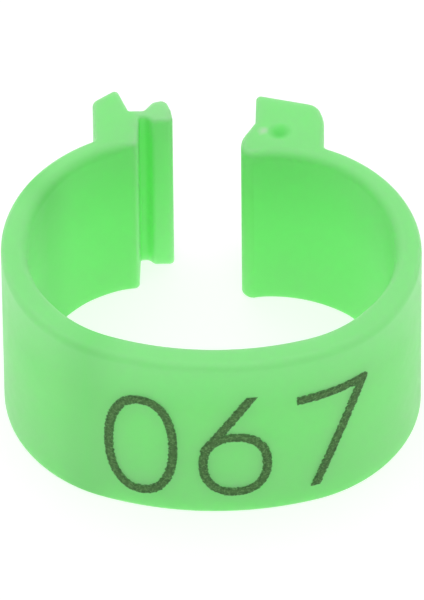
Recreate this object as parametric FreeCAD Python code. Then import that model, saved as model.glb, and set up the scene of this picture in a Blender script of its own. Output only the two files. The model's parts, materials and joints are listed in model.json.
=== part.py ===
import FreeCAD, Part
import math
import os

# Numbered leg band: a springy C-shaped plastic ring with a tongue-and-catch closure.
# Frame: +Z along the band's axis, number on the -Y side, closure on the +Y side, z = 0 at the lower rim.
# The origin is the middle of the leg opening at the lower rim. The catch arm is on -X, the tongue arm on +X.

os.makedirs("parts", exist_ok=True)

# Driving dimensions, in millimetres and degrees.
BAND_HEIGHT = 12.4
ARM_RADIUS = 8.87             # outer radius of the arms
PANEL_RADIUS = 19.04          # outer radius of the flatter number panel
PANEL_HALF_ANGLE = 19.35      # where the panel's arc meets an arm's arc
ARM_CENTRE_X = (PANEL_RADIUS - ARM_RADIUS) * math.sin(math.radians(PANEL_HALF_ANGLE))
HINGE_ANGLE = 52.0            # direction of each living hinge, seen from its arm's centre
PANEL_WALL = 1.55
ARM_WALL = 1.15
TAPER_START_ANGLE = 100.0     # the wall thins from here
TAPER_END_ANGLE = 145.0       # to here
CATCH_ARM_RADIUS = 9.5        # the catch arm follows a slightly wider arc beyond the break angle
CATCH_ARM_BREAK_ANGLE = 72.0
CATCH_ARM_END_ANGLE = 176.0   # each arm is drawn to here, then clipped where its end block begins
TONGUE_ARM_END_ANGLE = 186.0
CLIP_REACH = 30.0             # beyond the band on every side

RUNNING_GAP = 0.05            # clearance round each rounded hinge edge
CATCH_GAP = 0.06

CATCH_BLOCK_X = -7.09         # where the thick block at the catch arm's end begins
CATCH_WALL_END_X = -4.55      # where the catch arm's inner wall stops
CATCH_STRIP_END_X = -2.52
CATCH_STRIP_INNER_Y = 10.35
CATCH_PIVOT = (-4.62, 10.80)
CATCH_ROOT_RADIUS = 0.42
STOP_BLOCK_X = 6.34           # where the thick block at the tongue arm's end begins
STOP_FACE_X = 2.30
TONGUE_TIP_X = 1.50
NOSE_RADIUS = 0.75

MARK_DEPTH = 0.04             # thickness of the dark mark that forms each digit
MARK_STROKE = 0.58
DIGIT_WIDTH = 4.35
DIGIT_HEIGHT = 8.4
DIGIT_PITCH = 5.5
DIGIT_BASES_Z = {"digit_0": 1.15, "digit_6": 1.40, "digit_7": 1.15}
NUMBER_CENTRE_X = 1.58        # middle of the three digits
SIX_BOWL_HEIGHT = 5.4
SIX_STEM_TOP_X = 3.22
SIX_STEM_FOOT = (0.39, 3.89)
SEVEN_FOOT_X = 1.30
SEVEN_BAR_DROP = 0.20         # the bar of the seven falls by this towards its free end


def vec(x, y, z=0.0):
    return FreeCAD.Vector(x, y, z)


def panel_point(angle, inset):
    """Point on the number panel, inset from its outer face; angle is 0 at the front, + towards +X."""
    reach = PANEL_RADIUS - ARM_RADIUS
    centre_y = reach * math.cos(math.radians(PANEL_HALF_ANGLE))
    radius = PANEL_RADIUS - inset
    a = math.radians(angle)
    return vec(radius * math.sin(a), centre_y - radius * math.cos(a))


def arm_centre(side, angle):
    """Centre of the arm's arc at this angle. Only the catch arm (side -1) has a second, wider arc."""
    if side > 0 or angle <= CATCH_ARM_BREAK_ANGLE:
        return side * ARM_CENTRE_X, 0.0, ARM_RADIUS
    a = math.radians(CATCH_ARM_BREAK_ANGLE)
    step = CATCH_ARM_RADIUS - ARM_RADIUS
    return side * (ARM_CENTRE_X - step * math.sin(a)), step * math.cos(a), CATCH_ARM_RADIUS


def arm_wall(angle):
    """Wall thickness: PANEL_WALL round the front and the sides, thinning evenly to ARM_WALL."""
    share = (angle - TAPER_START_ANGLE) / (TAPER_END_ANGLE - TAPER_START_ANGLE)
    share = min(max(share, 0.0), 1.0)
    return PANEL_WALL + share * (ARM_WALL - PANEL_WALL)


def arm_point(side, angle, inset, wide=False):
    """Point on an arm, inset from its outer face; wide picks the arc beyond the break at the break angle."""
    lookup = angle + 0.001 if wide else angle
    x, y, radius = arm_centre(side, lookup)
    a = math.radians(angle)
    return vec(x + side * (radius - inset) * math.sin(a), y - (radius - inset) * math.cos(a))


def arm_arc(side, start, end, face):
    """Arc along an arm between two angles on its outer (face 0) or inner (face 1) side."""
    wide = start >= CATCH_ARM_BREAK_ANGLE
    points = [arm_point(side, a, face * arm_wall(a), wide) for a in (start, (start + end) / 2, end)]
    return Part.Arc(*points).toShape()


def panel_arc(inset):
    return Part.Arc(*[panel_point(a, inset) for a in (-PANEL_HALF_ANGLE, 0.0, PANEL_HALF_ANGLE)]).toShape()


def joined(outer, inner):
    """Closed face between two runs of edges that go the same way."""
    first, last = outer[0], outer[-1]
    start = first.firstVertex().Point
    end = last.lastVertex().Point
    inner_start = inner[0].firstVertex().Point
    inner_end = inner[-1].lastVertex().Point
    caps = [Part.LineSegment(start, inner_start).toShape(), Part.LineSegment(end, inner_end).toShape()]
    wire = Part.Wire(Part.__sortEdges__(outer + inner + caps))
    return Part.Face(wire)


def extrude(face, height=BAND_HEIGHT):
    return face.extrude(vec(0, 0, height))


def profile(points):
    """Face from corner points; a point given as (middle, end) adds an arc through middle."""
    edges = []
    here = vec(*points[0])
    for item in points[1:] + [points[0]]:
        if isinstance(item[0], tuple):
            middle, end = vec(*item[0]), vec(*item[1])
            edges.append(Part.Arc(here, middle, end).toShape())
        else:
            end = vec(*item)
            edges.append(Part.LineSegment(here, end).toShape())
        here = end
    return Part.Face(Part.Wire(edges))


def hinge_post(x, y, radius):
    return Part.makeCylinder(radius, BAND_HEIGHT, vec(x, y))


def hinge_place(side):
    """Middle of the wall at a living hinge, and half the wall's thickness there."""
    wall = arm_wall(HINGE_ANGLE)
    middle = arm_point(side, HINGE_ANGLE, wall / 2)
    return middle.x, middle.y, wall / 2


def panel_outline(inset_outer, inset_inner=None):
    """Face of the panel from hinge to hinge; with inset_inner None the inner side is the real wall."""
    outer = [panel_arc(inset_outer)]
    inner = [panel_arc(PANEL_WALL if inset_inner is None else inset_inner)]
    mid_angle = (PANEL_HALF_ANGLE + HINGE_ANGLE) / 2
    for side in (-1, 1):
        angles = (PANEL_HALF_ANGLE, mid_angle, HINGE_ANGLE)
        edge = Part.Arc(*[arm_point(side, a, inset_outer) for a in angles]).toShape()
        walls = [arm_wall(a) if inset_inner is None else inset_inner for a in angles]
        back = Part.Arc(*[arm_point(side, a, w) for a, w in zip(angles, walls)]).toShape()
        outer.append(edge)
        inner.append(back)
    caps = []
    for side in (-1, 1):
        wall = arm_wall(HINGE_ANGLE) if inset_inner is None else inset_inner
        ends = arm_point(side, HINGE_ANGLE, inset_outer), arm_point(side, HINGE_ANGLE, wall)
        caps.append(Part.LineSegment(*ends).toShape())
    return Part.Face(Part.Wire(Part.__sortEdges__(outer + inner + caps)))


def number_panel():
    """Front wall with a rounded edge at each living hinge."""
    panel = extrude(panel_outline(0.0))
    for side in (-1, 1):
        panel = panel.fuse(hinge_post(*hinge_place(side)))
    return panel.removeSplitter()


def arm_shell(side, end_angle):
    """Curved arm wall from its living hinge, hollowed to take the panel's rounded edge."""
    stops = [HINGE_ANGLE]
    if side < 0:
        stops.append(CATCH_ARM_BREAK_ANGLE)
    stops += [TAPER_START_ANGLE, TAPER_END_ANGLE, end_angle]
    spans = list(zip(stops, stops[1:]))
    outer = [arm_arc(side, a, b, 0) for a, b in spans]
    inner = [arm_arc(side, a, b, 1) for a, b in spans]
    x, y, radius = hinge_place(side)
    return extrude(joined(outer, inner)).cut(hinge_post(x, y, radius + RUNNING_GAP))


def clip_x(shape, low, high):
    """The part of a shape between two values of x."""
    box = Part.makeBox(high - low, 2 * CLIP_REACH, BAND_HEIGHT, vec(low, -CLIP_REACH, 0))
    return shape.common(box)


def catch_arm_wall():
    return clip_x(arm_shell(-1, CATCH_ARM_END_ANGLE), -CLIP_REACH, CATCH_BLOCK_X)


def inner_face_points(side, start_x, end_x):
    """Start, middle and end of the arm's inner face between two values of x near its end."""
    centre_x, centre_y, radius = arm_centre(side, 180.0)
    inner_radius = radius - ARM_WALL
    angles = [180.0 - math.degrees(math.asin(side * (x - centre_x) / inner_radius)) for x in (start_x, end_x)]
    angles.insert(1, sum(angles) / 2)
    points = [arm_point(side, a, ARM_WALL) for a in angles]
    return [(p.x, p.y) for p in points]


def catch_block():
    """Thick end of the catch arm: carries the grip lug outside and the catch strip at its end."""
    start, middle, end = inner_face_points(-1, CATCH_BLOCK_X, CATCH_WALL_END_X)
    face = profile([
        start,
        (middle, end),
        (CATCH_WALL_END_X, 11.18),
        (-5.17, 11.16),
        (-7.26, 11.0),
        (CATCH_BLOCK_X, 8.66),
    ])
    return extrude(face).cut(hinge_post(*CATCH_PIVOT, CATCH_ROOT_RADIUS + CATCH_GAP))


def catch_grip_lug():
    """Slanted lug that a finger or a pair of pliers pushes against."""
    return extrude(profile([
        (-7.26, 11.0),
        (-7.29, 11.40),
        ((-7.20, 11.86), (-6.90, 12.14)),
        (-6.20, 12.68),
        ((-5.97, 12.74), (-5.80, 12.60)),
        (-5.17, 11.16),
    ]))


def catch_strip():
    """Short springy strip that closes over the tongue's nose."""
    x, y = CATCH_PIVOT
    r = CATCH_ROOT_RADIUS
    return extrude(profile([
        (x, y + r),
        ((x - r, y), (x, y - r)),
        (-4.34, 10.52),
        ((-4.10, 10.62), (-3.92, CATCH_STRIP_INNER_Y + 0.04)),
        ((-3.30, CATCH_STRIP_INNER_Y - 0.10), (-2.70, CATCH_STRIP_INNER_Y + 0.02)),
        ((-2.56, 10.42), (CATCH_STRIP_END_X, 10.55)),
        (-2.70, 11.30),
        ((-2.86, 11.86), (-3.32, 12.05)),
        (-3.80, 11.93),
        (-4.22, 11.62),
    ]))


def tongue_arm_wall():
    return clip_x(arm_shell(1, TONGUE_ARM_END_ANGLE), STOP_BLOCK_X, CLIP_REACH)


def stop_block():
    """Square lug at the tongue arm's end: grip outside, stop for the catch strip on its near face."""
    start, middle, end = inner_face_points(1, STOP_BLOCK_X, STOP_FACE_X)
    return extrude(profile([
        start,
        (middle, end),
        (STOP_FACE_X, 12.30),
        ((STOP_FACE_X + 0.07, 12.47), (STOP_FACE_X + 0.25, 12.52)),
        (5.16, 11.98),
        ((5.98, 11.44), (STOP_BLOCK_X, 10.50)),
    ]))


def tongue_nose():
    """Rounded nose that slides in under the catch strip."""
    inner_y = inner_face_points(1, STOP_BLOCK_X, STOP_FACE_X)[-1][1]
    return extrude(profile([
        (STOP_FACE_X, inner_y),
        (TONGUE_TIP_X + NOSE_RADIUS, inner_y),
        ((TONGUE_TIP_X + 0.22, inner_y + 0.22), (TONGUE_TIP_X, inner_y + NOSE_RADIUS)),
        (TONGUE_TIP_X, inner_y + 1.0),
        ((TONGUE_TIP_X + 0.17, inner_y + 1.72), (STOP_FACE_X - 0.24, 9.87)),
        (STOP_FACE_X, 10.25),
    ]))


def upright(face_xy, x, z):
    """Stand a face drawn in x and y up against the panel, with its lower left corner at x, z."""
    face = face_xy.copy()
    face.rotate(vec(0, 0, 0), vec(1, 0, 0), 90)
    face.translate(vec(x, -2 * PANEL_RADIUS, z))
    return face.extrude(vec(0, 2 * PANEL_RADIUS, 0))


def ring_stroke(width, height):
    """Oval line of MARK_STROKE thickness, with its lower left corner at the origin."""
    centre = vec(width / 2, height / 2)
    rings = []
    for inset in (0.0, MARK_STROKE):
        half_w, half_h = width / 2 - inset, height / 2 - inset
        tall = Part.Ellipse(centre + vec(0, half_h), centre + vec(half_w, 0), centre)
        rings.append(Part.Face(Part.Wire(tall.toShape())))
    return rings[0].cut(rings[1])


def bar_stroke(start, end):
    """Straight line of MARK_STROKE thickness with round ends, from start to end."""
    a, b = vec(*start), vec(*end)
    along = (b - a).normalize()
    across = vec(-along.y, along.x) * (MARK_STROKE / 2)
    cap = along * (MARK_STROKE / 2)
    return Part.Face(Part.Wire([
        Part.LineSegment(a + across, b + across).toShape(),
        Part.Arc(b + across, b + cap, b - across).toShape(),
        Part.LineSegment(b - across, a - across).toShape(),
        Part.Arc(a - across, a - cap, a + across).toShape(),
    ]))


def digit_faces():
    """Plain single-line numerals, one list of strokes each."""
    edge = MARK_STROKE / 2
    right, top = DIGIT_WIDTH - edge, DIGIT_HEIGHT - edge
    return {
        "digit_0": [
            ring_stroke(DIGIT_WIDTH, DIGIT_HEIGHT),
        ],
        "digit_6": [
            ring_stroke(DIGIT_WIDTH, SIX_BOWL_HEIGHT),
            bar_stroke((SIX_STEM_TOP_X, top), SIX_STEM_FOOT),
        ],
        "digit_7": [
            bar_stroke((edge, top - SEVEN_BAR_DROP), (right, top)),
            bar_stroke((right, top), (SEVEN_FOOT_X, edge)),
        ],
    }


def digits():
    """Thin dark marks that lie on the panel's outer face."""
    skin = extrude(panel_outline(-MARK_DEPTH, 0.0))
    solids = {}
    for index, (name, strokes) in enumerate(digit_faces().items()):
        x = NUMBER_CENTRE_X + (index - 1) * DIGIT_PITCH - DIGIT_WIDTH / 2
        block = upright(strokes[0], x, DIGIT_BASES_Z[name])
        for stroke in strokes[1:]:
            block = block.fuse(upright(stroke, x, DIGIT_BASES_Z[name]))
        solids[name] = skin.common(block).removeSplitter()
    return solids


def build():
    shapes = {
        "number_panel": number_panel(),
        "catch_arm_wall": catch_arm_wall(),
        "catch_block": catch_block(),
        "catch_grip_lug": catch_grip_lug(),
        "catch_strip": catch_strip(),
        "tongue_arm_wall": tongue_arm_wall(),
        "stop_block": stop_block(),
        "tongue_nose": tongue_nose(),
    }
    shapes.update(digits())
    return shapes


for node, shape in build().items():
    print(node, "valid", shape.isValid(), "solids", len(shape.Solids), "volume %.2f" % shape.Volume)
    shape.exportStep("parts/" + node + ".step")
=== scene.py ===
import json
import math

import bpy
from mathutils import Matrix, Vector, noise
from mathutils.geometry import delaunay_2d_cdt


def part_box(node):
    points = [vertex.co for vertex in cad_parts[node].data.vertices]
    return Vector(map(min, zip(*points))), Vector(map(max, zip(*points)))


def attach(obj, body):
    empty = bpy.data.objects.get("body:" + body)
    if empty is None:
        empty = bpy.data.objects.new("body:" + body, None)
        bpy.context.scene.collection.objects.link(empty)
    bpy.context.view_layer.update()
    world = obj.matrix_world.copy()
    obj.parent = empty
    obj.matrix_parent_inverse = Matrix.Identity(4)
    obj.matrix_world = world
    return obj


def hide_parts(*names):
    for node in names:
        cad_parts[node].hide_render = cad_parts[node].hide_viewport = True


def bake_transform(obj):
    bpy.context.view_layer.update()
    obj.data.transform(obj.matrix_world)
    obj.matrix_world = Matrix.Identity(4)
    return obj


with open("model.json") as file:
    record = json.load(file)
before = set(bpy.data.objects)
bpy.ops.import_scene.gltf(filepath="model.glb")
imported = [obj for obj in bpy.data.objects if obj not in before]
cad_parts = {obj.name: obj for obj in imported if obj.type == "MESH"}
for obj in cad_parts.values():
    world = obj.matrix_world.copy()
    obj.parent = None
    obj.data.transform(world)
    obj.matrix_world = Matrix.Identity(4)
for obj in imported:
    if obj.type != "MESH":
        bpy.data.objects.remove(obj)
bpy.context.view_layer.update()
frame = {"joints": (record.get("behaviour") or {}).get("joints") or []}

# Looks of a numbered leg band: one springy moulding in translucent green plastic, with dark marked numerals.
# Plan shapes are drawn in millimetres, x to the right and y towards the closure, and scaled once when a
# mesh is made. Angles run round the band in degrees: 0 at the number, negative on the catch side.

MM = 0.001


def low_high(node):
    """Lowest and highest corner of a CAD node, in millimetres."""
    return [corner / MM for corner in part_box(node)]


def hinge_position(name):
    joint = next(j for j in frame["joints"] if j["name"] == name)
    return Vector(joint["pos_m"]) / MM


# Shape of the band, worked out from the frame.
HEIGHT = low_high("number_panel")[1].z
PANEL_FRONT_Y = low_high("number_panel")[0].y
TONGUE_SIDE_X = low_high("tongue_arm_wall")[1].x
CATCH_BLOCK_X = low_high("catch_arm_wall")[1].x
CATCH_END_X = low_high("catch_block")[1].x
STRIP_END_X = low_high("catch_strip")[1].x
STOP_BLOCK_X = low_high("stop_block")[1].x
STOP_FACE_X = low_high("stop_block")[0].x
NOSE_TIP_X = low_high("tongue_nose")[0].x
LUG_TOP_Y = low_high("catch_grip_lug")[1].y
STOP_TOP_Y = low_high("stop_block")[1].y
STRIP_LOW_Y = low_high("catch_strip")[0].y
CATCH_HINGE = hinge_position("catch_arm_flex")
TONGUE_HINGE = hinge_position("tongue_arm_flex")
STRIP_PIVOT = hinge_position("catch_strip_flex")

# Driving dimensions of the wall, in millimetres and degrees.
HINGE_ANGLE = 52.0            # where each arm starts to flex
PANEL_WALL = 1.55
ARM_WALL = 1.15
TAPER_START_ANGLE = 100.0     # the wall thins from here
TAPER_END_ANGLE = 145.0       # to here
WIDE_ARC_ANGLE = 72.0         # the catch arm opens to a wider arc from here on
WIDE_ARC_RADIUS = 9.5
PANEL_SEAM_ANGLE = -25.0      # the catch arm's mesh starts here, between the first numeral and its hinge
ARM_SEAM_ANGLE = -122.0       # and ends here, where the mesh of the catch starts

# Finishing details that the CAD solids leave plain.
ARC_STEP = 1.5                # degrees per point along the wall
STRAIGHT_STEP = 0.4           # millimetres per point along a straight side
CORNER_STEP = 10.0            # degrees of turn per point on a rounded corner
TOP_EDGE = 0.36               # rounding of the upper rim
BOTTOM_EDGE = 0.14            # rounding of the lower rim
FRONT_RIMS = (1.4, 0.4)       # share of that rounding outside and inside the number panel
ARM_RIMS = (0.6, 1.9)         # and outside and inside the arms
SIDE_ANGLE = 90.0             # the rims change from one to the other between the hinge and here
EDGE_STEPS = 6                # rings on each rounded rim
EDGE_SMOOTHING = 6            # rounds of averaging, so that a rim's rounding changes gradually
SIDE_RINGS = 10
CAP_SPACING = 0.42            # between points of the top and bottom faces
DENSE_CIRCLES = 8             # circles of points round a spot with relief
POINT_CLEARANCE = 0.08        # least distance of those points from the outline
ON_SEAM = 0.02                # a side this close to a seam lies on it
NEARLY_STRAIGHT = 0.02        # sine of the turn under which two sides count as one line
THIN_FADE = 0.4               # the painted glow on the strip fades in over this distance at its root
SEAM_FADE = 2.2               # the glow fades out over this distance from a seam between two meshes


def wall_at(angle):
    """Wall thickness: PANEL_WALL round the front and the sides, thinning evenly to ARM_WALL."""
    share = (abs(angle) - TAPER_START_ANGLE) / (TAPER_END_ANGLE - TAPER_START_ANGLE)
    share = min(max(share, 0.0), 1.0)
    return PANEL_WALL + share * (ARM_WALL - PANEL_WALL)


# The arm's arc passes half a wall outside its hinge, and reaches the band's full width.
HINGE_REACH = -TONGUE_HINGE.y / math.cos(math.radians(HINGE_ANGLE))
ARM_RADIUS = HINGE_REACH + wall_at(HINGE_ANGLE) / 2
ARM_CENTRE_X = TONGUE_SIDE_X - ARM_RADIUS
# The number panel's flatter arc runs tangent into both arms.
PANEL_RADIUS = (ARM_RADIUS**2 - ARM_CENTRE_X**2 - PANEL_FRONT_Y**2) / (2 * (ARM_RADIUS + PANEL_FRONT_Y))
PANEL_CENTRE_Y = PANEL_FRONT_Y + PANEL_RADIUS
PANEL_HALF_ANGLE = math.degrees(math.asin(ARM_CENTRE_X / (PANEL_RADIUS - ARM_RADIUS)))


def arc_of(angle):
    """Centre and outer radius of the arc that the band follows at this angle."""
    side = math.copysign(1.0, angle)
    if abs(angle) <= PANEL_HALF_ANGLE:
        return Vector((0.0, PANEL_CENTRE_Y)), PANEL_RADIUS
    if side > 0 or abs(angle) <= WIDE_ARC_ANGLE:
        return Vector((side * ARM_CENTRE_X, 0.0)), ARM_RADIUS
    step = WIDE_ARC_RADIUS - ARM_RADIUS
    turn = math.radians(WIDE_ARC_ANGLE)
    return Vector((side * (ARM_CENTRE_X - step * math.sin(turn)), step * math.cos(turn))), WIDE_ARC_RADIUS


def heading(angle):
    """Outward direction at this angle."""
    turn = math.radians(angle)
    return Vector((math.sin(turn), -math.cos(turn)))


def wall_point(angle, inset=0.0):
    centre, radius = arc_of(angle)
    return centre + heading(angle) * (radius - inset)


def angle_at_x(x, side, inset):
    """Angle near the closure at which the wall, this far inside its outer face, is at x."""
    centre, radius = arc_of(side * 179.0)
    return side * (180.0 - math.degrees(math.asin(side * (x - centre.x) / (radius - inset))))


def rim_scale(angle, inner):
    """Share of the full rim rounding: fullest outside the number panel, and inside the arms."""
    share = min(max((abs(angle) - HINGE_ANGLE) / (SIDE_ANGLE - HINGE_ANGLE), 0.0), 1.0)
    return FRONT_RIMS[inner] + share * (ARM_RIMS[inner] - FRONT_RIMS[inner])


def wall_run(start, end, inner):
    """Points along the wall's outer or inner face, each with its own exact normal."""
    count = max(2, round(abs(end - start) / ARC_STEP))
    run = []
    for i in range(count + 1):
        angle = start + (end - start) * i / count
        facing = -heading(angle) if inner else heading(angle)
        inset = wall_at(angle) if inner else 0.0
        edge = rim_scale(angle, inner)
        run.append({"at": wall_point(angle, inset), "normal": facing, "edge": edge, "inner": float(inner)})
    return run


def corner(x, y, radius=0.0, edge=1.0):
    """A corner of a plan outline, rounded to radius; edge scales the rim's rounding there."""
    return {"at": Vector((x, y)), "radius": radius, "edge": edge}


def rounded(points):
    """Closed outline in which every corner with a radius is an arc."""
    out = []
    count = len(points)
    for i, point in enumerate(points):
        radius = point.get("radius", 0.0)
        if radius <= 0.0:
            out.append(point)
            continue
        here = point["at"]
        back = (points[i - 1]["at"] - here).normalized()
        ahead = (points[(i + 1) % count]["at"] - here).normalized()
        opening = back.angle(ahead)
        run = radius / math.tan(opening / 2)
        centre = here + (back + ahead).normalized() * (radius / math.sin(opening / 2))
        first, last = here + back * run - centre, here + ahead * run - centre
        turn = first.angle_signed(last)
        steps = max(2, round(abs(math.degrees(turn)) / CORNER_STEP))
        for k in range(steps + 1):
            spoke = Matrix.Rotation(-turn * k / steps, 2) @ first
            out.append({"at": centre + spoke, "edge": point["edge"]})
    return out


def divided(points):
    """The same outline with its long straight stretches divided."""
    out = []
    for point, following in zip(points, points[1:] + points[:1]):
        out.append(point)
        gap = following["at"] - point["at"]
        pieces = math.ceil(gap.length / STRAIGHT_STEP - 0.3)
        if point.get("seam"):
            continue
        for k in range(1, pieces):
            share = k / pieces
            edge = point["edge"] + (following["edge"] - point["edge"]) * share
            out.append({"at": point["at"] + gap * share, "edge": edge})
    return out


def smoothed_edges(points):
    """Edge scales averaged with their neighbours, so that a rim's rounding changes gradually."""
    scales = [p["edge"] for p in points]
    count = len(points)
    for _ in range(EDGE_SMOOTHING):
        averages = []
        for i, own in enumerate(scales):
            before = own if points[i - 1].get("seam") else scales[i - 1]
            after = own if points[i].get("seam") else scales[(i + 1) % count]
            averages.append(min(own, (before + own + after) / 3))
        scales = averages
    return scales


class Outline:
    """Closed anticlockwise plan outline, ready to be moulded into a solid."""

    def __init__(self, corners):
        points = divided(rounded(corners))
        self.places = [p["at"] for p in points]
        self.count = len(points)
        self.edges = smoothed_edges(points)
        self.seams = [bool(p.get("seam")) for p in points]
        self.inner = [p.get("inner", 0.0) for p in points]
        self.outward = [self._edge_normal(i) for i in range(self.count)]
        self.normals = [self._normal(i, points[i].get("normal")) for i in range(self.count)]
        self.shifts = [self._inset_direction(i) for i in range(self.count)]

    def _edge_normal(self, i):
        along = (self.places[(i + 1) % self.count] - self.places[i]).normalized()
        return Vector((along.y, -along.x))

    def _normal(self, i, given):
        if given is not None:
            return given
        before, after = self.outward[i - 1], self.outward[i]
        if self.seams[i - 1]:
            return after
        if self.seams[i]:
            return before
        return (before + after).normalized()

    def _inset_direction(self, i):
        """How a point moves when every side but the seams moves in by 1."""
        before, after = -self.outward[i - 1], -self.outward[i]
        reach_before = 0.0 if self.seams[i - 1] else 1.0
        reach_after = 0.0 if self.seams[i] else 1.0
        cross = before.x * after.y - before.y * after.x
        if abs(cross) < NEARLY_STRAIGHT:
            return (before + after).normalized() * (reach_before + reach_after) / 2
        return Vector((
            (reach_before * after.y - reach_after * before.y) / cross,
            (reach_after * before.x - reach_before * after.x) / cross,
        ))

    def ring(self, inset):
        """The outline moved in, by inset times each point's edge scale."""
        return [self.places[i] + self.shifts[i] * inset * self.edges[i] for i in range(self.count)]


def rim_profile():
    """Rings of the moulding's side from bottom to top: (inset, height, height per edge scale, slope)."""
    turns = [math.pi / 2 * k / EDGE_STEPS for k in range(EDGE_STEPS + 1)]
    rows = []
    for turn in turns:
        inset, rise = BOTTOM_EDGE * (1 - math.sin(turn)), BOTTOM_EDGE * (1 - math.cos(turn))
        rows.append((inset, 0.0, rise, turn - math.pi / 2))
    for k in range(1, SIDE_RINGS):
        rows.append((0.0, HEIGHT * (k / SIDE_RINGS), 0.0, 0.0))
    for turn in turns:
        inset, drop = TOP_EDGE * (1 - math.cos(turn)), TOP_EDGE * (1 - math.sin(turn))
        rows.append((inset, HEIGHT, -drop, turn))
    return rows


def inside(place, ring):
    """True where a plan point is inside a ring."""
    hit = False
    for a, b in zip(ring, ring[1:] + ring[:1]):
        if (a.y > place.y) != (b.y > place.y):
            if place.x < a.x + (place.y - a.y) * (b.x - a.x) / (b.y - a.y):
                hit = not hit
    return hit


def clear_of(ring, place, clearance):
    return min((place - p).length for p in ring) > clearance and inside(place, ring)


def grid_points(ring):
    """Points of an even grid of triangles over a ring's box."""
    low = Vector((min(p.x for p in ring), min(p.y for p in ring)))
    high = Vector((max(p.x for p in ring), max(p.y for p in ring)))
    for row in range(int((high.y - low.y) / CAP_SPACING) + 1):
        for column in range(int((high.x - low.x) / CAP_SPACING) + 1):
            yield low + Vector(((column + 0.5 * (row % 2)) * CAP_SPACING, row * CAP_SPACING))


def circle_points(spot, reach):
    """Points on even circles round a spot, and the spot itself."""
    for circle in range(1, DENSE_CIRCLES + 1):
        radius = reach * circle / DENSE_CIRCLES
        count = 6 * circle
        for k in range(count):
            turn = 2 * math.pi * k / count
            yield spot + Vector((math.cos(turn), math.sin(turn))) * radius
    yield spot


def cap_points(ring, dense_spots):
    """Points inside a ring and clear of it: an even grid, and circles round each dense spot."""
    found = []
    for place in grid_points(ring):
        if all((place - spot).length > reach for spot, reach in dense_spots):
            if clear_of(ring, place, 0.45 * CAP_SPACING):
                found.append(place)
    for spot, reach in dense_spots:
        found += [place for place in circle_points(spot, reach) if clear_of(ring, place, POINT_CLEARANCE)]
    return found


def flat_relief(place):
    return 0.0


class Solid:
    """The vertices, with normals and attributes, and the faces of a mesh in the making."""

    def __init__(self):
        self.vertices, self.normals = [], []
        self.layers = {"rim": [], "inner": []}
        self.faces, self.flat_faces = [], []

    def add_vertex(self, place, normal, rim=0.0, inner=0.0):
        self.vertices.append(place)
        self.normals.append(normal)
        self.layers["rim"].append(rim)
        self.layers["inner"].append(inner)
        return len(self.vertices) - 1

    def add_face(self, corners, flat=False):
        self.faces.append(corners)
        self.flat_faces.append(flat)


def add_side(solid, outline):
    """Side of the moulding, from its lowest to its highest ring; the seams are flat."""
    profile = rim_profile()
    for inset, height, rise, slope in profile:
        for i, place in enumerate(outline.ring(inset)):
            facing = outline.normals[i] * math.cos(slope)
            spot = Vector((place.x, place.y, height + rise * outline.edges[i]))
            normal = Vector((facing.x, facing.y, math.sin(slope))).normalized()
            solid.add_vertex(spot, normal, abs(math.sin(2 * slope)), outline.inner[i])
    count = outline.count
    for row in range(len(profile) - 1):
        base = row * count
        for i in range(count):
            j = (i + 1) % count
            solid.add_face((base + i, base + j, base + count + j, base + count + i), outline.seams[i])
    return (len(profile) - 1) * count


def add_cap(solid, base, count, dense_spots, relief=None):
    """Face inside the ring of vertices that starts at base: the top, which has a relief, or the bottom."""
    top = relief is not None
    ring = [v.to_2d() for v in solid.vertices[base:base + count]]
    inner = cap_points(ring, dense_spots)
    loop = [(i, (i + 1) % count) for i in range(count)]
    places, _, triangles, sources, _, _ = delaunay_2d_cdt(ring + inner, loop, [], 1, 1e-6)
    numbers = []
    for place, source in zip(places, sources):
        if source and source[0] < count:
            numbers.append(base + source[0])
            continue
        spot = Vector((place.x, place.y, (HEIGHT + relief(place)) if top else 0.0))
        numbers.append(solid.add_vertex(spot, relief_normal(relief, place) if top else Vector((0, 0, -1))))
    for triangle in triangles:
        corners = [numbers[k] for k in triangle]
        a, b, c = (solid.vertices[k].to_2d() for k in corners)
        anticlockwise = (b - a).cross(c - a) > 0
        solid.add_face(tuple(corners if anticlockwise == top else reversed(corners)))


def moulded(name, outline, relief=flat_relief, dense_spots=()):
    """Solid from a plan outline, with rounded rims, exact normals and closed seams."""
    solid = Solid()
    top_ring = add_side(solid, outline)
    add_cap(solid, 0, outline.count, ())
    add_cap(solid, top_ring, outline.count, dense_spots, relief)
    return mesh_object(name, solid)


def relief_normal(relief, place):
    """Normal of the top face, from the relief's slope."""
    reach = 0.02
    rise_x = relief(place + Vector((reach, 0))) - relief(place - Vector((reach, 0)))
    rise_y = relief(place + Vector((0, reach))) - relief(place - Vector((0, reach)))
    return Vector((-rise_x / (2 * reach), -rise_y / (2 * reach), 1)).normalized()


def linked(name, mesh):
    """An object of this mesh, in the scene."""
    piece = bpy.data.objects.new(name, mesh)
    bpy.context.scene.collection.objects.link(piece)
    return piece


def smooth_mesh(name, vertices, faces):
    """A smooth-shaded mesh, from vertices in millimetres."""
    mesh = bpy.data.meshes.new(name)
    mesh.from_pydata([v * MM for v in vertices], [], faces)
    mesh.validate()
    for polygon in mesh.polygons:
        polygon.use_smooth = True
    return mesh


def mesh_object(name, solid):
    """Makes a piece of a solid, with its normals and its attributes."""
    mesh = smooth_mesh(name, solid.vertices, solid.faces)
    loop_normals = [None] * len(mesh.loops)
    for polygon, flat in zip(mesh.polygons, solid.flat_faces):
        for loop in polygon.loop_indices:
            own = solid.normals[mesh.loops[loop].vertex_index]
            loop_normals[loop] = polygon.normal.copy() if flat else own
    mesh.normals_split_custom_set(loop_normals)
    for layer, values in solid.layers.items():
        store(mesh, layer, values)
    return linked(name, mesh)


def store(mesh, name, values):
    layer = mesh.attributes.new(name, "FLOAT", "POINT")
    layer.data.foreach_set("value", values)


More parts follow.
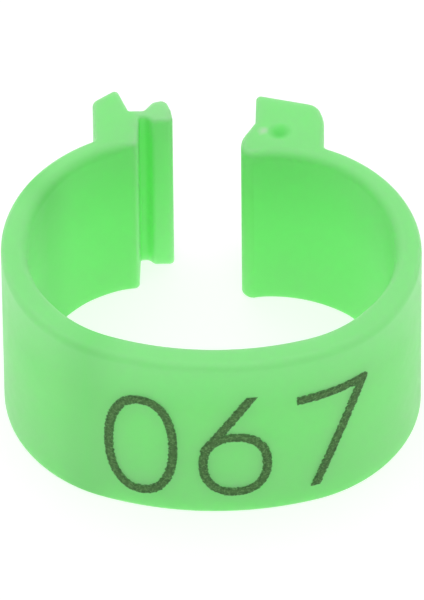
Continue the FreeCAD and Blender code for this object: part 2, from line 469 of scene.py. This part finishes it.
def store_glow(piece, seam_lines):
    """Keeps each point's distance from the seams, as 0 at a seam to 1 beyond SEAM_FADE."""
    values = []
    for vertex in piece.data.vertices:
        place = (vertex.co / MM).to_2d()
        away = min(distance_to_line(place, a, b) for a, b in seam_lines)
        values.append(min(away / SEAM_FADE, 1.0))
    store(piece.data, "glow", values)


def store_hollow(piece):
    """Marks how deep each point of the top lies in the sink mark, and how far up the nick beside it."""
    top = [v.co.z / MM > HEIGHT / 2 for v in piece.data.vertices]
    places = [(v.co / MM).to_2d() for v in piece.data.vertices]
    store(piece.data, "hollow", [bump_shape(p, SINK_CENTRE, SINK_REACH) * t for p, t in zip(places, top)])
    store(piece.data, "nick", [bump_shape(p, NICK_CENTRE, NICK_REACH) * t for p, t in zip(places, top)])


def store_thin(piece):
    """Marks the catch's strip, which is thin enough to let more light through."""
    values = []
    for vertex in piece.data.vertices:
        beyond = vertex.co.x / MM - (CATCH_END_X - THIN_FADE)
        values.append(min(max(beyond / THIN_FADE, 0.0), 1.0))
    store(piece.data, "thin", values)


def distance_to_line(place, a, b):
    along = b - a
    share = min(max((place - a).dot(along) / along.length_squared, 0.0), 1.0)
    return (place - a - along * share).length


# ---- The moulding -------------------------------------------------------------------------------------

PANEL_SEAM = (wall_point(PANEL_SEAM_ANGLE), wall_point(PANEL_SEAM_ANGLE, wall_at(PANEL_SEAM_ANGLE)))
ARM_SEAM = (wall_point(ARM_SEAM_ANGLE), wall_point(ARM_SEAM_ANGLE, wall_at(ARM_SEAM_ANGLE)))
WALL_END_GAP = 4.0            # degrees between the catch's wall run and its inner corner
BLOCK_GAP = 3.0               # degrees between a wall run and the corner of an end block
SINK_CENTRE = Vector((3.75, 9.55))
SINK_REACH = 0.80
SINK_DEPTH = 0.24
NICK_CENTRE = Vector((2.78, 9.62))
NICK_REACH = 0.42
NICK_HEIGHT = 0.06


def catch_arm():
    """The plain wall of the catch arm."""
    inner = wall_run(PANEL_SEAM_ANGLE, ARM_SEAM_ANGLE, True)
    outer = wall_run(ARM_SEAM_ANGLE, PANEL_SEAM_ANGLE, False)
    return mark_seams([*inner, *outer], [PANEL_SEAM, ARM_SEAM])


def mark_seams(corners, seams):
    """The outline, anticlockwise, with the sides that lie on a seam marked."""
    points = corners if signed_area(corners) > 0 else corners[::-1]
    for point, following in zip(points, points[1:] + points[:1]):
        middle = (point["at"] + following["at"]) / 2
        point["seam"] = any(distance_to_line(middle, a, b) < ON_SEAM for a, b in seams)
    return points


def signed_area(corners):
    return sum(a["at"].cross(b["at"]) for a, b in zip(corners, corners[1:] + corners[:1])) / 2


def catch_end():
    """The catch arm's thick end with its slanted grip lug, and the thin strip that closes over the nose."""
    outer_end = angle_at_x(CATCH_BLOCK_X, -1, 0.0)
    inner_end = angle_at_x(CATCH_END_X, -1, ARM_WALL)
    inner_corner = wall_point(inner_end, ARM_WALL)
    outer_corner = wall_point(outer_end)
    corners = [
        *wall_run(ARM_SEAM_ANGLE, inner_end + WALL_END_GAP, True),
        corner(inner_corner.x, inner_corner.y, 0.34, 0.9),
        corner(CATCH_END_X, 10.58, 0.15, 0.6),
        corner(-4.05, 10.62, 0.45, 0.8),
        corner(-3.72, STRIP_LOW_Y + 0.02, 0.38, 0.9),
        corner(STRIP_END_X, STRIP_LOW_Y + 0.12, 0.28, 0.7),
        corner(STRIP_END_X - 0.17, 11.30, 1.0, 0.9),
        corner(-3.02, 12.16, 0.42, 1.0),
        corner(-3.80, 11.94, 0.45, 1.0),
        corner(-4.30, 11.22, 0.32, 0.9),
        corner(-5.17, 11.17, 0.16, 0.8),
        corner(-5.93, LUG_TOP_Y + 0.14, 0.27, 0.7),
        corner(-7.32, 11.86, 0.50, 0.9),
        corner(-7.27, 11.00, 2.5, 0.7),
        corner(outer_corner.x, outer_corner.y, 0.35, 0.6),
        *wall_run(outer_end + BLOCK_GAP, ARM_SEAM_ANGLE, False),
    ]
    return mark_seams(corners, [ARM_SEAM])


def panel_and_tongue_arm():
    """Number panel and tongue arm, with the square stop block and the nose that slides under the strip."""
    outer_end = angle_at_x(STOP_BLOCK_X, 1, 0.0)
    inner_end = angle_at_x(STOP_FACE_X, 1, ARM_WALL)
    outer = wall_run(PANEL_SEAM_ANGLE, outer_end - BLOCK_GAP, False)
    inner = wall_run(inner_end, PANEL_SEAM_ANGLE, True)
    outer_corner = wall_point(outer_end)
    nose_low = wall_point(inner_end, ARM_WALL)
    corners = [
        *outer,
        corner(outer_corner.x, outer_corner.y, 0.45, 0.6),
        corner(STOP_BLOCK_X, 10.60, 2.2, 0.7),
        corner(5.94, 11.82, 0.95, 0.7),
        corner(STOP_FACE_X, STOP_TOP_Y + 0.04, 0.28, 0.6),
        corner(STOP_FACE_X, 10.34, 0.12, 0.6),
        corner(NOSE_TIP_X, 8.98, 1.4, 0.9),
        corner(NOSE_TIP_X, nose_low.y, 0.72, 1.2),
        *inner,
    ]
    return mark_seams(corners, [PANEL_SEAM])


def bump_shape(place, centre, reach):
    """Round bump of height 1 that runs out smoothly at reach."""
    away = (place - centre).length / reach
    return (1 - away * away) ** 2 if away < 1 else 0.0


def stop_relief(place):
    """Shallow sink mark on top of the stop block, with a small raised nick beside it."""
    sink = bump_shape(place, SINK_CENTRE, SINK_REACH) * SINK_DEPTH
    nick = bump_shape(place, NICK_CENTRE, NICK_REACH) * NICK_HEIGHT
    return min(nick - sink, 0.0)


# ---- The numerals -------------------------------------------------------------------------------------

MARK_WIDTH = 0.60             # of an upright stroke
MARK_HEIGHT = 0.76            # of a level one
MARK_PITCH = 0.07             # of the grid that a numeral is cut from
GRID_MARGIN = 2               # cells of that grid beyond the numeral on each side
MARK_LIFT = 0.022             # how far a mark stands off the wall
MARK_SINK = 0.01              # and how far its edge and its back lie inside
MARK_BACK = 0.03
MARK_EDGE = 0.10              # it rises from its edge over this width
MARK_RAGGED = 0.07
OVAL_POINTS = 72
OVAL_SQUARENESS = 2.25        # 2 would be an ellipse
BOWL_SHARE = 5.4 / 8.4        # height of the six's bowl
SIX_STEM_TOP = 0.68           # shares of a numeral's width and of the bowl's height
SIX_STEM_FOOT = (0.09, 0.72)
STROKE_OVERRUN = 1.2          # straight strokes are drawn this much longer, up to the edge of the box
SEVEN_FOOT = 0.26
SEVEN_BAR_START = 0.22        # how far in from its left the bar of the seven starts
SEVEN_BAR_DROP = 0.26
SEVEN_RISE = 0.20             # how far above its box the seven's foot ends


def oval(low, high):
    """Centre line of an upright oval numeral that fills a box."""
    centre = (low + high) / 2
    half = (high - low) / 2 - Vector((MARK_WIDTH, MARK_HEIGHT)) / 2
    points = []
    for k in range(OVAL_POINTS + 1):
        turn = 2 * math.pi * k / OVAL_POINTS
        c, s = math.cos(turn), math.sin(turn)
        across = math.copysign(abs(c) ** (2 / OVAL_SQUARENESS), c)
        up = math.copysign(abs(s) ** (2 / OVAL_SQUARENESS), s)
        points.append(centre + Vector((half.x * across, half.y * up)))
    return points


def mark_box(node):
    """Lowest and highest corner, in x and z, of the area that a numeral fills."""
    box_low, box_high = low_high(node)
    low, high = Vector((box_low.x, box_low.z)), Vector((box_high.x, box_high.z))
    if node == "digit_7":
        low += Vector((SEVEN_BAR_START, SEVEN_RISE))
    return low, high


def strokes_of(node):
    """Centre lines of a numeral; straight strokes run out of its box, which cuts their ends off square."""
    low, high = mark_box(node)
    size = high - low
    bend = Vector((high.x - MARK_WIDTH / 2, high.y - MARK_HEIGHT / 2))
    if node == "digit_0":
        return [oval(low, high)]
    if node == "digit_6":
        bowl_high = Vector((high.x, low.y + size.y * BOWL_SHARE))
        foot_x, foot_z = SIX_STEM_FOOT
        foot = Vector((low.x + foot_x * size.x, low.y + foot_z * size.y * BOWL_SHARE))
        top = Vector((low.x + SIX_STEM_TOP * size.x, bend.y))
        return [oval(low, bowl_high), [foot, foot + (top - foot) * STROKE_OVERRUN]]
    foot = Vector((low.x + SEVEN_FOOT * size.x, low.y))
    start = Vector((low.x, bend.y - SEVEN_BAR_DROP))
    return [[bend, bend + (start - bend) * STROKE_OVERRUN], [bend, bend + (foot - bend) * STROKE_OVERRUN]]


def inked(place, strokes, low, high):
    """How far a point is inside the ragged edge of a numeral's strokes."""
    squash = MARK_WIDTH / MARK_HEIGHT
    flat = Vector((place.x, place.y * squash))
    away = MARK_WIDTH
    for line in strokes:
        flat_line = [Vector((p.x, p.y * squash)) for p in line]
        away = min(away, *[distance_to_line(flat, a, b) for a, b in zip(flat_line, flat_line[1:])])
    to_box = min(place.x - low.x, high.x - place.x, place.y - low.y, high.y - place.y)
    grain = noise.noise(Vector((place.x * 5.5, place.y * 5.5, 3.0)))
    grain += 0.6 * noise.noise(Vector((place.x * 13.0, place.y * 13.0, 8.0)))
    if to_box < MARK_RAGGED:
        grain = min(grain, 0.0)
    return min(MARK_WIDTH / 2 - away, to_box) + MARK_RAGGED * grain


def outer_face(x):
    """Point and outward direction on the band's outer face at x, on the number side."""
    angle = math.degrees(math.asin(x / PANEL_RADIUS))
    if abs(angle) > PANEL_HALF_ANGLE:
        side = math.copysign(1.0, x)
        angle = side * math.degrees(math.asin((abs(x) - ARM_CENTRE_X) / ARM_RADIUS))
    return wall_point(angle), heading(angle)


def mark_place(place, depth):
    on_face, out = outer_face(place.x)
    spot = on_face + out * depth
    return Vector((spot.x, spot.y, place.y))


def contour_cells(node):
    """Polygons that cover a numeral: grid cells cut where the ink ends, as (key, place, how far inside)."""
    strokes = strokes_of(node)
    low, high = mark_box(node)
    columns = math.ceil((high.x - low.x) / MARK_PITCH) + 2 * GRID_MARGIN
    rows = math.ceil((high.y - low.y) / MARK_PITCH) + 2 * GRID_MARGIN
    start = low - Vector((GRID_MARGIN, GRID_MARGIN)) * MARK_PITCH
    grid = {}
    for c in range(columns + 1):
        for r in range(rows + 1):
            place = start + Vector((c, r)) * MARK_PITCH
            grid[c, r] = (place, inked(place, strokes, low, high))
    for c in range(columns):
        for r in range(rows):
            ring = [(c, r), (c + 1, r), (c + 1, r + 1), (c, r + 1)]
            if all(grid[key][1] <= 0 for key in ring):
                continue
            polygon = []
            for key, following in zip(ring, ring[1:] + ring[:1]):
                (a, ink_a), (b, ink_b) = grid[key], grid[following]
                if ink_a > 0:
                    polygon.append((key, a, ink_a))
                if (ink_a > 0) != (ink_b > 0):
                    cut = a + (b - a) * (ink_a / (ink_a - ink_b))
                    polygon.append((tuple(sorted((key, following))), cut, 0.0))
            if len(polygon) > 2:
                yield polygon


def open_edges(faces):
    """Edges that only one face uses."""
    used = {}
    for ids in faces:
        for a, b in zip(ids, ids[1:] + ids[:1]):
            used[a, b] = True
    return [(a, b) for a, b in used if (b, a) not in used]


def numeral(node, name):
    """A dark mark that lies on the wall with a ragged edge, closed at the back inside the wall."""
    numbers, front, back, inks, faces = {}, [], [], [], []
    for polygon in contour_cells(node):
        for key, place, ink in polygon:
            if key not in numbers:
                numbers[key] = len(front)
                share = min(ink / MARK_EDGE, 1.0)
                front.append(mark_place(place, -MARK_SINK + (MARK_LIFT + MARK_SINK) * share))
                back.append(mark_place(place, -MARK_BACK))
                inks.append(min(max(ink / (MARK_WIDTH / 2), 0.0), 1.0))
        faces.append([numbers[key] for key, _, _ in polygon])
    count = len(front)
    solid = faces + [[k + count for k in reversed(ids)] for ids in faces]
    solid += [[b, a, a + count, b + count] for a, b in open_edges(faces)]
    mesh = smooth_mesh(name, front + back, solid)
    store(mesh, "ink", inks + inks)
    return linked(name, mesh)


# ---- Materials ----------------------------------------------------------------------------------------

def new_material(name):
    """An empty node material, with its Principled shader, node adder and linker."""
    material = bpy.data.materials.new(name)
    material.use_nodes = True
    tree = material.node_tree
    shader = tree.nodes["Principled BSDF"]

    def add(kind, **values):
        node = tree.nodes.new(kind)
        for key, value in values.items():
            if hasattr(node, key):
                setattr(node, key, value)
            else:
                node.inputs[key.replace("_", " ")].default_value = value
        return node

    return material, shader, add, tree.links.new


def millimetre_noise(add, link, scale, detail=3.0, roughness=0.55):
    """Noise whose scale is per millimetre of the object."""
    place = add("ShaderNodeTexCoord")
    grain = add("ShaderNodeTexNoise", Scale=scale / MM, Detail=detail, Roughness=roughness)
    link(place.outputs["Object"], grain.inputs["Vector"])
    return grain.outputs["Fac"]


def ranged(add, link, value, low, high, out_low, out_high):
    """value mapped from low..high to out_low..out_high, and clamped."""
    node = add("ShaderNodeMapRange")
    for socket, number in (("From Min", low), ("From Max", high), ("To Min", out_low), ("To Max", out_high)):
        node.inputs[socket].default_value = number
    link(value, node.inputs["Value"])
    return node.outputs["Result"]


def mixed(add, link, share, first, second):
    """Two colours, or colour outputs, mixed by share."""
    node = add("ShaderNodeMix", data_type="RGBA")
    for socket, source in ((node.inputs[6], first), (node.inputs[7], second)):
        if isinstance(source, tuple):
            socket.default_value = source
        else:
            link(source, socket)
    if isinstance(share, float):
        node.inputs[0].default_value = share
    else:
        link(share, node.inputs[0])
    return node.outputs[2]


LIGHT_REACH = 3.6             # painted glow: the wall is paler this far down from its upper rim, as if lit through it there
FOOT_REACH = 6.5              # painted shade: the green is darker up to this height


def band_plastic():
    """Translucent green plastic, satin and faintly clouded; its colour carries painted light and shade: glow
    towards the upper rim, on the inner faces, near the seams and on the thin strip, a sheen on the rounded
    rims, a highlight on the nick, and shade towards the foot and in the sink mark.
    """
    material, shader, add, link = new_material("band_plastic")
    clouds = millimetre_noise(add, link, 0.22)
    colour = mixed(add, link, ranged(add, link, clouds, 0.3, 0.7, 0.0, 1.0),
                   (0.245, 0.880, 0.240, 1), (0.270, 0.895, 0.255, 1))
    # Painted light: the inner faces are made paler and brighter, as if lit through the wall and by light
    # bounced round inside the band.
    inner = add("ShaderNodeAttribute", attribute_name="inner").outputs["Fac"]
    colour = mixed(add, link, ranged(add, link, inner, 0.0, 1.0, 0.0, 0.8), colour, (0.290, 0.960, 0.290, 1))
    height = add("ShaderNodeSeparateXYZ")
    link(add("ShaderNodeTexCoord").outputs["Object"], height.inputs[0])
    z = height.outputs["Z"]
    # Painted shade: the wall grows darker towards its foot.
    foot = ranged(add, link, z, 0.0, FOOT_REACH * MM, 1.0, 0.0)
    colour = mixed(add, link, foot, colour, (0.270, 0.770, 0.260, 1))
    # Painted glow: the wall grows paler towards its upper rim.
    crown_glow = ranged(add, link, z, (HEIGHT - LIGHT_REACH) * MM, HEIGHT * MM, 0.0, 1.0)
    colour = mixed(add, link, crown_glow, colour, (0.310, 0.950, 0.310, 1))
    # Painted glow: near a seam, where the subsurface scattering is faded out, the colour turns a brighter,
    # deeper green in its place.
    glow = add("ShaderNodeAttribute", attribute_name="glow").outputs["Fac"]
    colour = mixed(add, link, ranged(add, link, glow, 0.0, 1.0, 0.5, 0.0), colour, (0.185, 0.955, 0.185, 1))
    # Painted highlight: a paler sheen in noisy patches on the rounded rims.
    rim_sheen = ranged(add, link, millimetre_noise(add, link, 1.6, 4.0), 0.35, 0.7, 0.0, 0.15)
    for layer, strength, tint in (("rim", rim_sheen, (0.40, 0.90, 0.39, 1)),
                                  # painted shade in the sink mark
                                  ("hollow", 0.7, (0.12, 0.78, 0.13, 1)),
                                  # painted highlight on the raised nick
                                  ("nick", 0.9, (0.62, 0.86, 0.60, 1)),
                                  # painted glow on the thin strip, as if lit through it
                                  ("thin", 0.7, (0.380, 0.930, 0.380, 1))):
        share = add("ShaderNodeMath", operation="MULTIPLY")
        link(add("ShaderNodeAttribute", attribute_name=layer).outputs["Fac"], share.inputs[0])
        if isinstance(strength, float):
            share.inputs[1].default_value = strength
        else:
            link(strength, share.inputs[1])
        colour = mixed(add, link, share.outputs[0], colour, tint)
    link(colour, shader.inputs["Base Color"])
    flow = millimetre_noise(add, link, 0.9, 4.0)
    link(ranged(add, link, flow, 0.3, 0.7, 0.36, 0.48), shader.inputs["Roughness"])
    shader.inputs["IOR"].default_value = 1.5
    shader.inputs["Specular IOR Level"].default_value = 0.35
    link(ranged(add, link, glow, 0.0, 1.0, 0.0, 0.9), shader.inputs["Subsurface Weight"])
    shader.inputs["Subsurface Radius"].default_value = (0.4, 1.0, 0.4)
    shader.inputs["Subsurface Scale"].default_value = 3.0 * MM
    orange_peel = add("ShaderNodeBump", Strength=0.35, Distance=0.012 * MM)
    link(millimetre_noise(add, link, 2.4, 3.0), orange_peel.inputs["Height"])
    waves = add("ShaderNodeBump", Strength=0.5, Distance=0.03 * MM)
    link(millimetre_noise(add, link, 0.35, 1.0), waves.inputs["Height"])
    link(orange_peel.outputs["Normal"], waves.inputs["Normal"])
    link(waves.outputs["Normal"], shader.inputs["Normal"])
    return material


def dark_mark():
    """Dark olive marking: grainy, browner along the middle of a stroke and thinning to green at its edges."""
    material, shader, add, link = new_material("dark_mark")
    ink = add("ShaderNodeAttribute", attribute_name="ink").outputs["Fac"]
    grain = millimetre_noise(add, link, 7.0, 2.0, 0.7)
    blotches = millimetre_noise(add, link, 2.6, 2.0)
    dark = mixed(add, link, ranged(add, link, blotches, 0.35, 0.65, 0.0, 1.0),
                 (0.026, 0.102, 0.018, 1), (0.050, 0.165, 0.032, 1))
    middle = mixed(add, link, ranged(add, link, ink, 0.35, 1.0, 0.0, 0.5), dark, (0.105, 0.225, 0.068, 1))
    specks = ranged(add, link, grain, 0.48, 0.64, 0.0, 0.8)
    speckled = mixed(add, link, specks, middle, (0.150, 0.370, 0.110, 1))
    edge = ranged(add, link, ink, 0.0, 0.35, 0.75, 0.0)
    colour = mixed(add, link, edge, speckled, (0.110, 0.380, 0.100, 1))
    link(colour, shader.inputs["Base Color"])
    link(ranged(add, link, grain, 0.3, 0.7, 0.6, 0.8), shader.inputs["Roughness"])
    shader.inputs["Specular IOR Level"].default_value = 0.3
    pits = add("ShaderNodeBump", Strength=0.5, Distance=0.02 * MM)
    link(grain, pits.inputs["Height"])
    link(pits.outputs["Normal"], shader.inputs["Normal"])
    return material


FLOOR_GLOW = 0.68             # the floor's own light, which keeps it near white round the band
FLOOR_HALF = 3.0              # half of its side, in metres
FLOOR_DROP = 0.02             # how far it lies below the band, in millimetres


def floor_material():
    """Plain pale floor."""
    material, shader, add, link = new_material("pale_floor")
    tone = millimetre_noise(add, link, 0.02, 2.0)
    colour = mixed(add, link, ranged(add, link, tone, 0.3, 0.7, 0.0, 1.0),
                   (0.49, 0.49, 0.49, 1), (0.51, 0.51, 0.51, 1))
    link(colour, shader.inputs["Base Color"])
    shader.inputs["Roughness"].default_value = 0.9
    shader.inputs["Specular IOR Level"].default_value = 0.1
    shader.inputs["Emission Color"].default_value = (1, 1, 1, 1)
    shader.inputs["Emission Strength"].default_value = FLOOR_GLOW
    return material


# ---- Assembly -----------------------------------------------------------------------------------------


def build_moulding():
    """Three meshes for the one moulding."""
    plastic = band_plastic()
    arm = moulded("band_catch_arm", Outline(catch_arm()))
    store_glow(arm, [PANEL_SEAM, ARM_SEAM])
    catch = moulded("band_catch", Outline(catch_end()))
    store_glow(catch, [ARM_SEAM])
    store_thin(catch)
    tongue_side = moulded("band_panel_and_tongue_arm", Outline(panel_and_tongue_arm()), stop_relief,
                          [(SINK_CENTRE, SINK_REACH + 0.1)])
    store_glow(tongue_side, [PANEL_SEAM])
    store_hollow(tongue_side)
    for piece in (arm, catch, tongue_side):
        piece.data.materials.append(plastic)
    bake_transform(arm)
    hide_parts("catch_arm_wall")
    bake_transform(catch)
    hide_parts("catch_block", "catch_grip_lug", "catch_strip")
    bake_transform(tongue_side)
    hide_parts("number_panel", "tongue_arm_wall", "stop_block", "tongue_nose")


def build_numerals():
    ink = dark_mark()
    for index, node in enumerate(("digit_0", "digit_6", "digit_7")):
        piece = numeral(node, "number_mark_" + str(index + 1))
        piece.data.materials.append(ink)
        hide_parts(node)
        if node == "digit_7":
            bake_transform(piece)
        else:
            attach(piece, "front")


def build_floor():
    corners = [(x * FLOOR_HALF, y * FLOOR_HALF, 0) for x, y in ((-1, -1), (1, -1), (1, 1), (-1, 1))]
    mesh = bpy.data.meshes.new("floor")
    mesh.from_pydata(corners, [], [(0, 1, 2, 3)])
    mesh.materials.append(floor_material())
    floor = linked("floor", mesh)
    floor.location.z = -FLOOR_DROP * MM


def area_light(name, place, aim, size, energy):
    data = bpy.data.lights.new(name, "AREA")
    data.shape = "DISK"
    data.size = size
    data.energy = energy
    light = bpy.data.objects.new(name, data)
    light.location = place
    light.rotation_mode = "QUATERNION"
    light.rotation_quaternion = (Vector(aim) - Vector(place)).to_track_quat("-Z", "Y")
    bpy.context.scene.collection.objects.link(light)


OVERHEAD_POWER = 0.9
FILL_POWER = 0.45
SKY_AXIS = (0.0, 0.5, 0.866)  # where the surrounding is brightest
SKY_STRENGTH = 0.68


def build_lights():
    """Soft studio light: a broad overhead, a front fill and a surrounding brightest above and behind."""
    centre = (0, 0, HEIGHT * MM / 2)
    area_light("overhead", (-0.05, 0.06, 0.60), centre, 0.70, OVERHEAD_POWER)
    area_light("front_fill", (0.05, -0.50, 0.62), centre, 0.50, FILL_POWER)
    world = bpy.data.worlds.new("surrounding")
    world.use_nodes = True
    nodes, link = world.node_tree.nodes, world.node_tree.links.new
    direction = nodes.new("ShaderNodeTexCoord")
    facing = nodes.new("ShaderNodeVectorMath")
    facing.operation = "DOT_PRODUCT"
    facing.inputs[1].default_value = SKY_AXIS
    link(direction.outputs["Generated"], facing.inputs[0])
    brighter = nodes.new("ShaderNodeMapRange")
    for socket, number in (("From Min", -0.4), ("From Max", 0.6), ("To Min", 0.0), ("To Max", SKY_STRENGTH)):
        brighter.inputs[socket].default_value = number
    link(facing.outputs["Value"], brighter.inputs["Value"])
    link(brighter.outputs["Result"], nodes["Background"].inputs["Strength"])
    nodes["Background"].inputs["Color"].default_value = (1, 1, 1, 1)
    bpy.context.scene.world = world
    bpy.context.scene.view_settings.view_transform = "Standard"


CAMERA_AZIMUTH = 1.92
CAMERA_ELEVATION = 47.0
CAMERA_ROLL = -0.55
CAMERA_DISTANCE = 0.8235
CAMERA_LENS = 840.0
CAMERA_AIM = (-0.05, 5.50)    # how far right of and above the origin the camera looks, in millimetres


def build_camera():
    a, e = math.radians(CAMERA_AZIMUTH), math.radians(CAMERA_ELEVATION)
    back = Vector((math.sin(a) * math.cos(e), -math.cos(a) * math.cos(e), math.sin(e)))
    level = Vector((math.cos(a), math.sin(a), 0))
    roll = Matrix.Rotation(math.radians(CAMERA_ROLL), 3, back)
    right = roll @ level
    up = roll @ back.cross(level)
    data = bpy.data.cameras.new("camera")
    data.lens = CAMERA_LENS
    data.clip_start = 0.05
    data.clip_end = 20.0
    camera = bpy.data.objects.new("camera", data)
    target = (right * CAMERA_AIM[0] + up * CAMERA_AIM[1]) * MM
    turn = Matrix((right, up, back)).transposed().to_4x4()
    camera.matrix_world = Matrix.Translation(target + back * CAMERA_DISTANCE) @ turn
    bpy.context.scene.collection.objects.link(camera)
    bpy.context.scene.camera = camera


build_moulding()
build_numerals()
build_floor()
build_lights()
build_camera()
